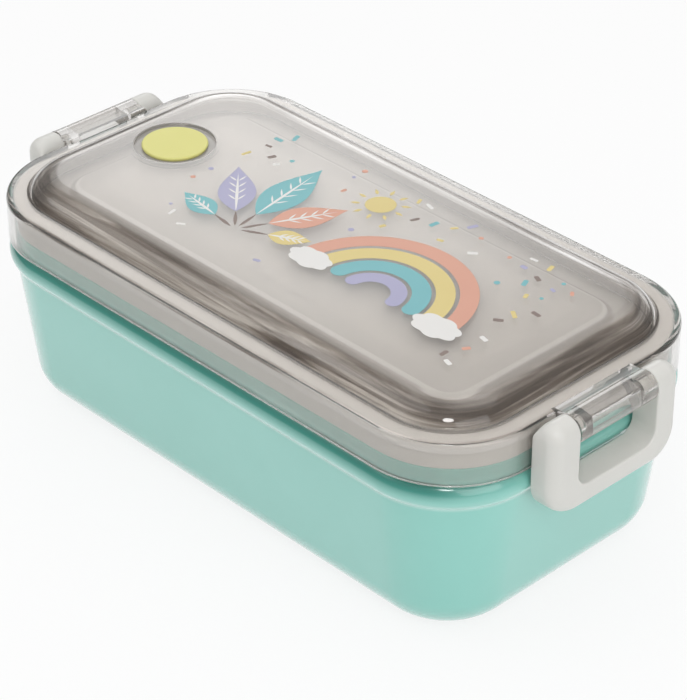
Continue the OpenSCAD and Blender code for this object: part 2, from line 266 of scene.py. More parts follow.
def plan_ring(bm, x, z):
    """Vertices of round_loop at height z. Points that fall together share one vertex."""
    ring = []
    last = None
    for point in round_loop(x):
        if last is None or math.dist(point, last) > SAME_POINT:
            ring.append(bm.verts.new((*point, z)))
            last = point
        else:
            ring.append(ring[-1])
    return ring


def sweep(name, profile, closed=False):
    """Sweeps a profile of (x, z) round the box. An open profile starts and ends at x = 0."""
    bm = bmesh.new()
    rings = []
    for i, point in enumerate(profile):
        if i == 0 or math.dist(point, profile[i - 1]) > SAME_POINT:
            rings.append(plan_ring(bm, *point))
    for a, b in zip(rings, rings[1:]):
        bridge(bm, a, b)
    if closed:
        bridge(bm, rings[-1], rings[0])
    else:
        for ring in (rings[0], rings[-1]):
            bm.faces.new(list(dict.fromkeys(ring)))
    return finish_mesh(bm, name)


def prism(bm, bottom, top):
    """Adds a closed prism between two loops of points."""
    bottom = [bm.verts.new(point) for point in bottom]
    top = [bm.verts.new(point) for point in top]
    bm.faces.new(bottom)
    bm.faces.new(list(reversed(top)))
    bridge(bm, bottom, top)


def solid(name, outline, low, high, axis="Z"):
    """Extrudes an outline in (x, y) between two heights, or one in (x, z) along Y."""
    bm = bmesh.new()
    if axis == "Z":
        prism(bm, [(u, v, low) for u, v in outline], [(u, v, high) for u, v in outline])
    else:
        prism(bm, [(u, low, v) for u, v in outline], [(u, high, v) for u, v in outline])
    return finish_mesh(bm, name)


def apply_modifiers(obj):
    """Replaces an object's mesh with what its modifiers make of it."""
    graph = bpy.context.evaluated_depsgraph_get()
    mesh = bpy.data.meshes.new_from_object(obj.evaluated_get(graph), depsgraph=graph)
    obj.modifiers.clear()
    old = obj.data
    obj.data = mesh
    bpy.data.meshes.remove(old)


def combine(obj, other, operation):
    """Cuts, joins or meets obj with other, and removes other."""
    mod = obj.modifiers.new("combine", "BOOLEAN")
    mod.operation = operation
    mod.solver = "EXACT"
    mod.object = other
    apply_modifiers(obj)
    bpy.data.objects.remove(other)


def resharpen(obj):
    """Cleans the mesh after its booleans and marks its sharp edges again."""
    bm = bmesh.new()
    bm.from_mesh(obj.data)
    bmesh.ops.remove_doubles(bm, verts=bm.verts, dist=MERGE_DIST)
    bmesh.ops.dissolve_degenerate(bm, edges=bm.edges, dist=THIN_DIST)
    mark_edges(bm)
    bm.to_mesh(obj.data)
    bm.free()
    return obj


def even_normals(obj):
    """Lets the large faces decide the normals, so that flats look flat."""
    mod = obj.modifiers.new("normals", "WEIGHTED_NORMAL")
    mod.keep_sharp = True
    mod.weight = 80
    return obj


def dress(obj, material):
    """Gives an object one material."""
    obj.data.materials.clear()
    obj.data.materials.append(material)
    return obj


# ---------------------------------------------------------------- node tools
def new_material(name):
    """A node material, its tree and its main shader."""
    mat = bpy.data.materials.new(name)
    mat.use_nodes = True
    tree = mat.node_tree
    return mat, tree, tree.nodes["Principled BSDF"]


def feed(tree, socket, value):
    """Sets an input to a plain value, or links it to another node's output."""
    if isinstance(value, bpy.types.NodeSocket):
        tree.links.new(value, socket)
    else:
        socket.default_value = value


def add(tree, kind, **inputs):
    """A new node with some of its inputs fed; their names are written with _ for a space."""
    made = tree.nodes.new(kind)
    for key, value in inputs.items():
        feed(tree, made.inputs[key.replace("_", " ")], value)
    return made


def noise(tree, vector, scale, detail, roughness, distortion=0.0):
    """A noise texture's grey value."""
    made = add(tree, "ShaderNodeTexNoise", Vector=vector, Scale=scale, Detail=detail,
               Roughness=roughness, Distortion=distortion)
    return made.outputs["Fac"]


def math_node(tree, operation, first, second=None, clamp=False):
    """The result of a Math node."""
    made = tree.nodes.new("ShaderNodeMath")
    made.operation = operation
    made.use_clamp = clamp
    feed(tree, made.inputs[0], first)
    if second is not None:
        feed(tree, made.inputs[1], second)
    return made.outputs[0]


def vector_value(tree, operation, first, second):
    """The number that a Vector Math node gives."""
    made = tree.nodes.new("ShaderNodeVectorMath")
    made.operation = operation
    feed(tree, made.inputs[0], first)
    feed(tree, made.inputs[1], second)
    return made.outputs["Value"]


def step_between(tree, value, low, high):
    """0 at `low`, 1 at `high`, and a smooth step between them."""
    made = add(tree, "ShaderNodeMapRange", Value=value, From_Min=low, From_Max=high)
    made.interpolation_type = "SMOOTHSTEP"
    return made.outputs["Result"]


def blend_colours(tree, share, first, second):
    """Mixes two colours, each a socket or a plain triple, by a socket."""
    made = tree.nodes.new("ShaderNodeMix")
    made.data_type = "RGBA"
    feed(tree, made.inputs["Factor"], share)
    for slot, value in (("A", first), ("B", second)):
        socket = [s for s in made.inputs if s.name == slot and s.type == "RGBA"][0]
        feed(tree, socket, (*value, 1) if isinstance(value, tuple) else value)
    return [s for s in made.outputs if s.type == "RGBA"][0]


def mix_shaders(tree, share, first, second):
    """Mixes two shaders by a socket."""
    made = add(tree, "ShaderNodeMixShader", Fac=share)
    feed(tree, made.inputs[1], first)
    feed(tree, made.inputs[2], second)
    return made.outputs["Shader"]


def bump(tree, height, strength, distance):
    """A bumped normal."""
    made = add(tree, "ShaderNodeBump", Height=height, Strength=strength, Distance=distance)
    return made.outputs["Normal"]


def srgb(r, g, b):
    """Linear colour of an 8-bit screen colour."""
    return tuple(
        (c / 255 / 12.92) if c <= 10 else ((c / 255 + 0.055) / 1.055) ** 2.4 for c in (r, g, b))


# ---------------------------------------------------------------- moulded plastics
CLOUD_SCALE = 22.0
CLOUD_STOPS = (0.3, 0.72)
GRAIN_SCALE = 900.0
GRAIN_DEPTH = 0.00012
COAT_ROUGH = 0.08
SUBSURFACE_DEPTH = 0.0015
BAND_TURN = (86.0, 99.5)  # where along the box a band goes from its middle to its end share

# A band of colour that paints shade or a highlight round a piece: its share in the middle and at
# the ends of the box, and the heights at which it starts, is full, begins to fade and is gone
PaintedBand = namedtuple("PaintedBand", "colour middle ends start full fade gone")


def moulded(name, colours, rough, grain, coat=0.0, subsurface=0.0, painted_bands=()):
    """Moulded plastic: a faint cloud in its colour and gloss, a fine surface grain, and any bands
    of painted shade and highlight.

    `colours` and `rough` are pairs that the cloud goes between, `grain` is the grain's strength.
    """
    mat, tree, bsdf = new_material(name)
    place = tree.nodes.new("ShaderNodeTexCoord").outputs["Object"]
    cloud = noise(tree, place, CLOUD_SCALE, 3.0, 0.55)
    ramp = add(tree, "ShaderNodeValToRGB", Fac=cloud)
    for stop, spot, colour in zip(ramp.color_ramp.elements, CLOUD_STOPS, colours):
        stop.position = spot
        stop.color = (*colour, 1)
    base = ramp.outputs["Color"]
    if painted_bands:
        where = add(tree, "ShaderNodeSeparateXYZ", Vector=place).outputs
        along = math_node(tree, "ABSOLUTE", where["X"])
        outward = step_between(tree, along, BAND_TURN[0] * MM, BAND_TURN[1] * MM)
    # Bands of painted shade and highlight, each by height, fuller in the middle of the box than at
    # its ends
    for band in painted_bands:
        grown = step_between(tree, where["Z"], band.start * MM, band.full * MM)
        faded = step_between(tree, where["Z"], band.fade * MM, band.gone * MM)
        within = math_node(tree, "SUBTRACT", grown, faded, clamp=True)
        change = math_node(tree, "MULTIPLY", outward, band.ends - band.middle)
        most = math_node(tree, "ADD", change, band.middle)
        share = math_node(tree, "MULTIPLY", within, most)
        base = blend_colours(tree, share, base, band.colour)
    gloss = add(tree, "ShaderNodeMapRange", Value=cloud, To_Min=rough[0], To_Max=rough[1])
    fine = noise(tree, place, GRAIN_SCALE, 4.0, 0.6)
    for key, value in (
        ("Base Color", base),
        ("Roughness", gloss.outputs["Result"]),
        ("Normal", bump(tree, fine, grain, GRAIN_DEPTH)),
        ("Coat Weight", coat),
        ("Coat Roughness", COAT_ROUGH),
        ("Subsurface Weight", subsurface),
        ("Subsurface Radius", (1.0, 1.0, 1.0)),
        ("Subsurface Scale", SUBSURFACE_DEPTH),
    ):
        feed(tree, bsdf.inputs[key], value)
    return mat


# Painted shade: the dark line under the lid's skirt; painted highlight: the pale line at the lower
# edge of the tub's shoulder
MINT_PAINTED_LIGHT = (
    PaintedBand(srgb(0, 124, 110), 0.92, 0.3, 49.0, 53.6, 54.5, 54.7),
    PaintedBand(srgb(210, 240, 236), 0.62, 0.5, 45.6, 47.2, 47.4, 49.0),
)
# Painted highlight: the pale line round the cover's panel; painted shade: a darker one just below
# it
COVER_PAINTED_LIGHT = (
    PaintedBand(srgb(252, 250, 246), 0.9, 0.9,
         COVER_TOP - 0.75, COVER_TOP - 0.6, COVER_TOP - 0.15, COVER_TOP - 0.05),
    PaintedBand(srgb(176, 170, 163), 0.8, 0.8,
         COVER_TOP - 1.9, COVER_TOP - 1.2, COVER_TOP - 0.9, COVER_TOP - 0.7),
)
# The tub's plastic, with painted shade under the skirt and a painted highlight on the shoulder
MINT = moulded("mint_plastic", (srgb(140, 209, 197), srgb(146, 213, 202)), (0.16, 0.22), 0.05,
               coat=1.0, subsurface=0.2, painted_bands=MINT_PAINTED_LIGHT)
TRAY = moulded("tray_plastic", (srgb(232, 228, 222), srgb(236, 233, 228)), (0.50, 0.60), 0.012,
               subsurface=0.1)
# The cover's plastic, with a painted highlight and painted shade round its raised panel
COVER = moulded("cover_plastic", (srgb(226, 222, 216), srgb(230, 227, 222)), (0.50, 0.60), 0.012,
                subsurface=0.1, painted_bands=COVER_PAINTED_LIGHT)
CLIP = moulded("clip_plastic", (srgb(218, 217, 212), srgb(224, 223, 218)), (0.30, 0.40), 0.06,
               subsurface=0.15)
SEAL = moulded("seal_silicone", (srgb(240, 237, 234), srgb(245, 243, 240)), (0.45, 0.55), 0.12,
               subsurface=0.2)
PLUG = moulded("plug_silicone", (srgb(222, 218, 132), srgb(228, 224, 144)), (0.42, 0.52), 0.12,
               subsurface=0.2)

INK_ROUGH = (0.35, 0.45)
INK_GRAIN = 0.03
INK_COLOURS = {
    "white": (srgb(226, 224, 221), srgb(234, 232, 229)),
    "teal": (srgb(112, 178, 184), srgb(124, 188, 192)),
    "coral": (srgb(213, 156, 134), srgb(221, 166, 144)),
    "yellow": (srgb(217, 198, 128), srgb(224, 206, 140)),
    "lilac": (srgb(166, 164, 194), srgb(176, 174, 202)),
    "brown": (srgb(128, 112, 105), srgb(138, 122, 114)),
}
INK = {
    name: moulded("ink_" + name, colours, INK_ROUGH, INK_GRAIN)
    for name, colours in INK_COLOURS.items()
}

# ---------------------------------------------------------------- clear plastic
# Tints of its surfaces, as linear colours
SKIRT_TINT = (0.86, 0.845, 0.825)
FLANGE_TINT = (0.75, 0.73, 0.705)
PANEL_TINT = (0.725, 0.705, 0.685)
# Painted shade: the ring round the vent is tinted darker, as its recess looks darker
RING_PAINTED_SHADE = (0.40, 0.385, 0.37)
MILK = (0.52, 0.50, 0.48)
# Tints of the light that falls through its sides and through its flats
SKIRT_SHADE = (0.66, 0.65, 0.635)
FLAT_SHADE = (0.88, 0.86, 0.84)
# The streaks along the dome's side, as stops of a ramp: darker smoke with painted dark and light
# reflections
SMOKE_AND_REFLECTIONS = (
    (0.42, (0.17, 0.142, 0.122)),
    (0.50, (0.42, 0.380, 0.345)),
    (0.59, (0.93, 0.91, 0.89)),
)
STREAK_STRETCH = (7.0, 7.0, 260.0)
STREAK_SCALE = 1.6
# Limits of the upright share of a surface's normal, for the flats and for the dome's side
FLAT_NORMAL = (0.955, 0.995)
SLANT_NORMAL = (0.10, 0.35)
# Reach past the flange, the lid's end and the vent's recess, in millimetres
DOME_FADE = (-0.1, 0.5)
END_MARGIN = 0.05
RING_FADE = (0.5, -0.1)
HAZE = 0.10
RING_HAZE = 0.45
CLEAR_ROUGH = 0.03
CLEAR_IOR = 1.28
COAT_IOR = 1.5
WAVE_SCALE = 9.0
WAVE_STRENGTH = 0.15
WAVE_DEPTH = 0.0006


def smoke_and_reflection_streaks(tree, place):
    """Colour of the streaks that run along the side of the dome: darker smoke and painted
    reflections, dark and light.
    """
    stretched = add(tree, "ShaderNodeMapping", Vector=place, Scale=STREAK_STRETCH)
    streaks = noise(tree, stretched.outputs["Vector"], STREAK_SCALE, 5.0, 0.5, 1.3)
    ramp = add(tree, "ShaderNodeValToRGB", Fac=streaks)
    stops = ramp.color_ramp.elements
    stops[0].position = SMOKE_AND_REFLECTIONS[0][0]
    for spot, _ in SMOKE_AND_REFLECTIONS[1:]:
        stops.new(spot)
    for stop, (_, colour) in zip(stops, SMOKE_AND_REFLECTIONS):
        stop.color = (*colour, 1)
    stops[-1].color = stops[-2].color
    return ramp.outputs["Color"]


def clear_plastic(name):
    """Smoke-grey clear plastic: clearer on the flats; round the dome's side darker smoke with
    painted dark and light reflections in streaks; painted shade on the ring round the vent.
    """
    mat, tree, bsdf = new_material(name)
    coords = tree.nodes.new("ShaderNodeTexCoord").outputs
    place = coords["Object"]
    where = add(tree, "ShaderNodeSeparateXYZ", Vector=place).outputs
    facing = add(tree, "ShaderNodeSeparateXYZ", Vector=coords["Normal"]).outputs
    upright = math_node(tree, "ABSOLUTE", facing["Z"])

    # Where on the lid a point is: on a flat, the dome, the dome's side, the ring round the vent
    flat = step_between(tree, upright, *FLAT_NORMAL)
    dome_low, dome_full = ((FLANGE_TOP + reach) * MM for reach in DOME_FADE)
    dome = step_between(tree, where["Z"], dome_low, dome_full)
    slant = step_between(tree, upright, *SLANT_NORMAL)
    side = math_node(tree, "MULTIPLY", slant, math_node(tree, "SUBTRACT", 1.0, flat))
    along = math_node(tree, "ABSOLUTE", where["X"])
    inboard = math_node(tree, "LESS_THAN", along, (BOX_L / 2 + END_MARGIN) * MM)
    side = math_node(tree, "MULTIPLY", side, inboard)
    plan = add(tree, "ShaderNodeCombineXYZ", X=where["X"], Y=where["Y"])
    vent = (VENT_X * MM, VENT_Y * MM, 0.0)
    away = vector_value(tree, "DISTANCE", plan.outputs["Vector"], vent)
    ring_out, ring_in = ((RECESS_R + reach) * MM for reach in RING_FADE)
    ring = step_between(tree, away, ring_out, ring_in)

    flats = blend_colours(tree, dome, FLANGE_TINT, PANEL_TINT)
    # Painted shade: the ring round the vent is darker
    flats = blend_colours(tree, ring, flats, RING_PAINTED_SHADE)
    base = blend_colours(tree, flat, SKIRT_TINT, flats)
    wave = noise(tree, place, WAVE_SCALE, 1.0, 0.4)
    for key, value in (
        # The dome's side takes the streaks of darker smoke and painted reflection
        ("Base Color", blend_colours(tree, side, base, smoke_and_reflection_streaks(tree, place))),
        ("Roughness", CLEAR_ROUGH),
        ("IOR", CLEAR_IOR),
        ("Transmission Weight", 1.0),
        ("Coat Weight", 1.0),
        ("Coat IOR", COAT_IOR),
        ("Coat Roughness", CLEAR_ROUGH),
        ("Normal", bump(tree, wave, WAVE_STRENGTH, WAVE_DEPTH)),
    ):
        feed(tree, bsdf.inputs[key], value)

    # A faint milky share, and tinted light for what lies under the lid
    milk = add(tree, "ShaderNodeBsdfDiffuse", Color=(*MILK, 1))
    haze = math_node(tree, "ADD", math_node(tree, "MULTIPLY", ring, RING_HAZE), HAZE)
    share = math_node(tree, "MULTIPLY", math_node(tree, "SUBTRACT", 1.0, side), haze)
    seen = mix_shaders(tree, share, bsdf.outputs["BSDF"], milk.outputs["BSDF"])
    shade = blend_colours(tree, flat, SKIRT_SHADE, FLAT_SHADE)
    through = add(tree, "ShaderNodeBsdfTransparent", Color=shade)
    path = tree.nodes.new("ShaderNodeLightPath").outputs
    surface = mix_shaders(tree, path["Is Shadow Ray"], seen, through.outputs["BSDF"])
    feed(tree, tree.nodes["Material Output"].inputs["Surface"], surface)
    return mat


CLEAR = clear_plastic("lid_plastic")


# ---------------------------------------------------------------- tub
def tub_profile():
    """Section of the tub, from under its foot over the bead and neck to its inside."""
    # The fillet under the bead touches the leaning wall and the bead
    fillet_x0 = FOOT_X + BEAD_FILLET * LEAN_LEN
    offset = fillet_x0 - BEAD_X
    reach = BEAD_R + BEAD_FILLET
    qa = 1 + LEAN ** 2
    qb = 2 * (LEAN * offset - BEAD_Z)
    qc = offset * offset + BEAD_Z ** 2 - reach ** 2
    fillet_z = (-qb - math.sqrt(qb * qb - 4 * qa * qc)) / (2 * qa)
    fillet = (fillet_x0 + LEAN * fillet_z, fillet_z)
    to_bead = math.degrees(math.atan2(BEAD_Z - fillet_z, BEAD_X - fillet[0]))
    bead_end = math.degrees(math.asin((LEDGE_Z - BEAD_Z) / BEAD_R))

    lean = math.degrees(DRAFT)
    foot = (FOOT_X + LEAN * FOOT_R - FOOT_R * LEAN_LEN, FOOT_R)
    ring_in = foot[0] - FOOT_RING
    recess = (ring_in - RECESS_EDGE, FOOT_RECESS - RECESS_ROUND)
    inner_x = NECK_X - NECK_T
    inner_z = (inner_x - FOOT_X + TUB_WALL * LEAN_LEN) / LEAN
    return (
        [(0, FOOT_RECESS)]
        + arc(recess, RECESS_ROUND, 90, 30, 4)
        + [(ring_in, 0)]
        + arc(foot, FOOT_R, -90, -lean, 26)
        + arc(fillet, BEAD_FILLET, 180 - lean, to_bead, 8)
        + arc((BEAD_X, BEAD_Z), BEAD_R, to_bead - 180, bead_end, 28)
        + [(NECK_X, LEDGE_Z)]
        + arc((NECK_X - EDGE, NECK_TOP - EDGE), EDGE, 0, 90, EDGE_STEPS)
        + arc((inner_x + EDGE, NECK_TOP - EDGE), EDGE, 90, 180, EDGE_STEPS)
        + [(inner_x, inner_z)]
        + arc(foot, FOOT_R - TUB_WALL, -lean, -90, 16)
        + [(0, TUB_WALL)]
    )


tub = dress(even_normals(sweep("tub_shell", tub_profile())), MINT)
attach(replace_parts(tub, "tub") or tub, "tub")


# ---------------------------------------------------------------- tray and cover
def tray_profile():
    """Section of the tray, from its floor over the ledge and collar to its inside."""
    lean = math.degrees(TRAY_DRAFT)
    collar_in = NECK_X - TRAY_WALL
    inner_x = TRAY_X - TRAY_WALL * T_LEN - T_LEAN * (NECK_TOP - TRAY_LEDGE)
    return (
        [(0, TRAY_FLOOR)]
        + arc(TRAY_FOOT, TRAY_R, -90, -lean, 16)
        + [(TRAY_X, NECK_TOP - TRAY_STEP), (TRAY_X, NECK_TOP), (NECK_X, NECK_TOP)]
        + arc((NECK_X - EDGE, COLLAR_TOP - EDGE), EDGE, 0, 90, EDGE_STEPS)
        + arc((collar_in + EDGE, COLLAR_TOP - EDGE), EDGE, 90, 180, EDGE_STEPS)
        + [(collar_in, TRAY_LEDGE), (inner_x, TRAY_LEDGE)]
        + arc(TRAY_FOOT, TRAY_R - TRAY_WALL, -lean, -90, 14)
        + [(0, TRAY_FLOOR + TRAY_WALL)]
    )


def tray_inside_profile():
    """Section of the tray's inside, half a wall bigger, to which the divider is trimmed."""
    grip = TRAY_WALL / 2
    return (
        [(0, TRAY_FLOOR + grip)]
        + arc(TRAY_FOOT, TRAY_R - grip, -90, -math.degrees(TRAY_DRAFT), 16)
        + [(TRAY_X - grip * T_LEN, NECK_TOP), (0, NECK_TOP)]
    )


def divider_outline():
    """Section of the divider: thicker at its foot, with a round top."""
    half = TRAY_WALL / 2
    top = TRAY_LEDGE - DIVIDER_DROP
    low = TRAY_FLOOR + half
    foot_half = half + T_LEAN * (top - low)
    foot = [(DIVIDER_X - foot_half, low), (DIVIDER_X + foot_half, low)]
    return foot + arc((DIVIDER_X, top - half), half, 0, 180, 12)


tray = sweep("tray_shell", tray_profile())
divider = solid("divider", divider_outline(), -BOX_W / 2, BOX_W / 2, "Y")
combine(divider, sweep("tray_inside", tray_inside_profile()), "INTERSECT")
combine(tray, divider, "UNION")
dress(even_normals(resharpen(tray)), TRAY)
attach(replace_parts(tray, "inner_tray") or tray, "inner_tray")


def cover_profile():
    """Section of the cover: a flat border, a slope and the raised panel."""
    edge_x = NECK_X - TRAY_WALL - COVER_GAP
    slope_x = edge_x - COVER_BORDER
    panel_x = slope_x - COVER_SLOPE
    shift = COVER_T * math.tan(math.atan2(COVER_RISE, COVER_SLOPE) / 2)
    low = TRAY_LEDGE
    panel_low = low + COVER_RISE
    return [
        (0, panel_low),
        (panel_x - shift, panel_low),
        (slope_x - shift, low),
        (edge_x, low),
        (edge_x, low + COVER_T),
        (slope_x, low + COVER_T),
        (panel_x, panel_low + COVER_T),
        (0, panel_low + COVER_T),
    ]


cover = dress(even_normals(sweep("cover_plate", cover_profile())), COVER)
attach(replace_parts(cover, "tray_cover") or cover, "tray_cover")


# ---------------------------------------------------------------- lid
def lid_profile():
    """Section of the lid: dome, flange, rim and skirt, then the groove, its rib and the inside."""
    reach = DOME_ARC + DOME_FILLET
    rise = FLANGE_TOP + DOME_FILLET - DOME_Z
    foot = (DOME_X + math.sqrt(reach ** 2 - rise ** 2), FLANGE_TOP + DOME_FILLET)
    to_dome = math.degrees(math.atan2(DOME_Z - foot[1], DOME_X - foot[0]))
    under = DOME_ARC - DOME_T
    rib_in = RIB_X - RIB_T
    rib_low = FLANGE_LOW - GROOVE_D
    under_start = math.degrees(math.acos((rib_in - DOME_X) / under))
    skirt_in = CORNER - SKIRT_T
    return (
        [(0, DOME_TOP)]
        + arc((DOME_X, DOME_Z), DOME_ARC, 90, to_dome + 180, 28)
        + arc(foot, DOME_FILLET, to_dome + 360, 270, 10)
        + arc((CORNER - RIM_R, FLANGE_TOP - RIM_R), RIM_R, 90, 0, 12)
        + arc((CORNER - EDGE, TUB_H + EDGE), EDGE, 0, -90, EDGE_STEPS)
        + arc((skirt_in + EDGE, TUB_H + EDGE), EDGE, -90, -180, EDGE_STEPS)
        + [(skirt_in, FLANGE_LOW), (RIB_X, FLANGE_LOW), (RIB_X, rib_low), (rib_in, rib_low)]
        + arc((DOME_X, DOME_Z), under, under_start, 90, 24)
        + [(0, DOME_TOP - DOME_T)]
    )


def lug_outline():
    """Side view of a lug: the barrel, its root on the skirt and the plate on the flange."""
    root_x = BOX_L / 2 - SKIRT_T / 2
    edge_x = BOX_L / 2 - BRIDGE_IN
    top = FLANGE_TOP + BRIDGE_T
    to_plate = 180 - math.degrees(math.asin((top - PIVOT_Z) / LUG_R))
    return (
        [(root_x, PIVOT_Z - LUG_R)]
        + arc((PIVOT_X, PIVOT_Z), LUG_R, -90, to_plate, 40)
        + [(edge_x + BRIDGE_T, top), (edge_x, FLANGE_TOP)]
        + [(edge_x, FLANGE_TOP - EDGE), (root_x, FLANGE_TOP - EDGE)]
    )


def add_lug(lid, side):
    """Joins a lug to the end of the lid, and cuts its pocket and the two bores for the pins."""
    outline = [(side * u, v) for u, v in lug_outline()]
    combine(lid, solid("lug", outline, -LUG_HALF, LUG_HALF, "Y"), "UNION")
    half = LUG_HALF - PIN_L - POCKET_WALL - EDGE
    near = side * (BOX_L / 2 + POCKET_WALL)
    far = side * (PIVOT_X + LUG_R - POCKET_WALL - EDGE)
    pocket = [(near, -half), (far, -half), (far, half), (near, half)]
    low = PIVOT_Z - LUG_R - OVERSHOOT
    high = FLANGE_TOP + BRIDGE_T - POCKET_WALL
    combine(lid, solid("pocket", pocket, low, high), "DIFFERENCE")
    bore = circle(side * PIVOT_X, PIVOT_Z, BORE_R, 40)
    for end in (1, -1):
        deep = end * (LUG_HALF - PIN_L)
        out = end * (LUG_HALF + OVERSHOOT)
        combine(lid, solid("bore", bore, deep, out, "Y"), "DIFFERENCE")


lid = sweep("lid_shell", lid_profile())
for side in (1, -1):
    add_lug(lid, side)
boss = circle(VENT_X, VENT_Y, RECESS_R + VENT_FLOOR, 72)
recess = circle(VENT_X, VENT_Y, RECESS_R, 96)
hole = circle(VENT_X, VENT_Y, HOLE_R, 48)
boss_low = RECESS_Z - VENT_FLOOR
above = DOME_TOP + OVERSHOOT
combine(lid, solid("boss", boss, boss_low, DOME_TOP - BOSS_SINK), "UNION")
combine(lid, solid("recess", recess, RECESS_Z, above), "DIFFERENCE")
combine(lid, solid("hole", hole, boss_low - OVERSHOOT, above), "DIFFERENCE")
dress(even_normals(resharpen(lid)), CLEAR)
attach(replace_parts(lid, "lid") or lid, "lid")


# ---------------------------------------------------------------- seal
def seal_profile():
    """Section of the seal: a ring that fills the groove, with a lip over the collar."""
    out_x = CORNER - SKIRT_T - SEAL_GAP
    in_x = RIB_X + SEAL_GAP
    lip_x = NECK_X - TRAY_WALL - LIP_GAP
    lip_z = COLLAR_TOP - SEAL_LIP
    top = FLANGE_LOW - SEAL_TOP_GAP
    return (
        arc((out_x - EDGE, top - EDGE), EDGE, 90, 0, EDGE_STEPS)
        + arc((out_x - EDGE, COLLAR_TOP + EDGE), EDGE, 0, -90, EDGE_STEPS)
        + [(lip_x, COLLAR_TOP), (lip_x - EDGE, lip_z), (in_x, lip_z)]
        + arc((in_x + EDGE, top - EDGE), EDGE, 180, 90, EDGE_STEPS)
    )


seal = dress(even_normals(sweep("seal_ring", seal_profile(), closed=True)), SEAL)
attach(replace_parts(seal, "lid_seal") or seal, "lid")

# ---------------------------------------------------------------- print on the lid
INK_T = 0.045
INK_STEP = 0.02  # how much higher each layer of ink lies
INK_SINK = 0.01

LEAF_ROOT = (-20.0, -19.0)
LEAF_START = 10.0  # from the root to the foot of each leaf
LEAVES = (
    # colour, length, width, direction in degrees
    ("teal", 32.0, 12.8, 100),
    ("coral", 24.0, 11.4, 64),
    ("lilac", 26.0, 11.2, 136),
    ("yellow", 13.0, 7.8, 28),
    ("teal", 16.0, 8.4, 172),
)
LEAF_BELLY = 0.8  # below 1 the widest place is nearer the foot
LEAF_POINT = 1.15
VEIN_TILT = 38

ARCH_CENTRE = (31.0, -15.0)
ARCHES = (
    # colour, outer radius, inner radius
    ("coral", 30.0, 24.6),
    ("yellow", 23.4, 18.0),
    ("teal", 16.8, 11.4),
    ("lilac", 10.2, 5.6),
)
ARCH_ENDS = (8, 172)
CLOUDS = ((-24.6, 6.6), (24.6, 7.2))  # shift along the box, radius

SUN = (-1.0, 20.5)
SUN_R = 4.6
RAYS = 10
RAY_START = 6.0

CONFETTI = 46
CONFETTI_SEED = 11
CONFETTI_X = (-52, 70)
CONFETTI_Y = (-29, 31)
CONFETTI_COLOURS = ("lilac", "yellow", "teal", "white", "coral", "brown")
CONFETTI_GAP = 4.0
CHIP_CORNER = 0.35

prints = {}
# Circles (x, y, radius) that the confetti keeps clear of; each new piece adds its own
busy = [(*ARCH_CENTRE, 33), (*SUN, 11), (*LEAF_ROOT, 12), (VENT_X, VENT_Y, 16)]


def stamp(colour, outline, layer=0):
    """Adds one printed shape, an outline in the plan of the lid, to the ink of its colour."""
    low = DOME_TOP - INK_SINK + layer * INK_STEP
    prints.setdefault(colour, []).append((outline, low, low + INK_T))


def turned(points, cx, cy, degrees):
    """Points turned about the origin and moved to (cx, cy)."""
    c, s = math.cos(math.radians(degrees)), math.sin(math.radians(degrees))
    return [(cx + c * u - s * v, cy + s * u + c * v) for u, v in points]


def leaf(length, width, steps=22):
    """A pointed leaf from (0, 0) along x."""
    line = []
    for i in range(steps + 1):
        t = i / steps
        swell = math.sin(math.pi * t ** LEAF_BELLY) ** LEAF_POINT
        line.append((length * t, width / 2 * swell))
    return line + [(u, -v) for u, v in reversed(line[1:-1])]


def arch(outer, inner, start, end, steps=40):
    """Part of a ring with rounded ends."""
    half = (outer - inner) / 2
    middle = (outer + inner) / 2
    cap_end = (middle * math.cos(math.radians(end)), middle * math.sin(math.radians(end)))
    cap_start = (middle * math.cos(math.radians(start)), middle * math.sin(math.radians(start)))
    return (
        arc((0, 0), outer, start, end, steps)
        + arc(cap_end, half, end, end + 180, 10)[1:-1]
        + arc((0, 0), inner, end, start, steps)
        + arc(cap_start, half, start + 180, start + 360, 10)[1:-1]
    )


def puff(radius, bumps, depth, squash=1.0, steps=96):
    """A round cloud with soft bumps; without depth, a disc."""
    points = []
    for i in range(steps):
        t = 2 * math.pi * i / steps
        r = radius * (1 + depth * abs(math.sin(bumps * t / 2)))
        points.append((r * math.cos(t), squash * r * math.sin(t)))
    return points


def chip(length, width):
    """A small confetti strip with rounded corners."""
    u = length / 2 - CHIP_CORNER
    v = width / 2 - CHIP_CORNER
    points = []
    for cu, cv, start in ((u, v, 0), (-u, v, 90), (-u, -v, 180), (u, -v, 270)):
        points += arc((cu, cv), CHIP_CORNER, start, start + 90, 4)
    return points


def print_leaves():
    """A fan of veined leaves that grow from one place and don't overlap."""
    for colour, length, width, angle in LEAVES:
        foot = turned([(LEAF_START, 0)], *LEAF_ROOT, angle)[0]
        stamp(colour, turned(leaf(length, width), *foot, angle))
        stamp("white", turned(leaf(length * 0.86, 0.9), *foot, angle), 1)
        vein = [(u + 0.5, v) for u, v in leaf(width * 0.34, 0.6)]
        for k in range(1, 5):
            spot = LEAF_START + length * (0.10 + 0.14 * k)
            joint = turned([(spot, 0)], *LEAF_ROOT, angle)[0]
            for tilt in (VEIN_TILT, -VEIN_TILT):
                stamp("white", turned(vein, *joint, angle + tilt), 1)
        stem = [(2.0 + u, v) for u, v in leaf(LEAF_START - 1.6, 1.1)]
        stamp("brown", turned(stem, *LEAF_ROOT, angle))
        for k in range(6):
            spot = LEAF_START + length * (0.1 + 0.18 * k)
            x, y = turned([(spot, 0)], *LEAF_ROOT, angle)[0]
            busy.append((x, y, width / 2 + 2.5))


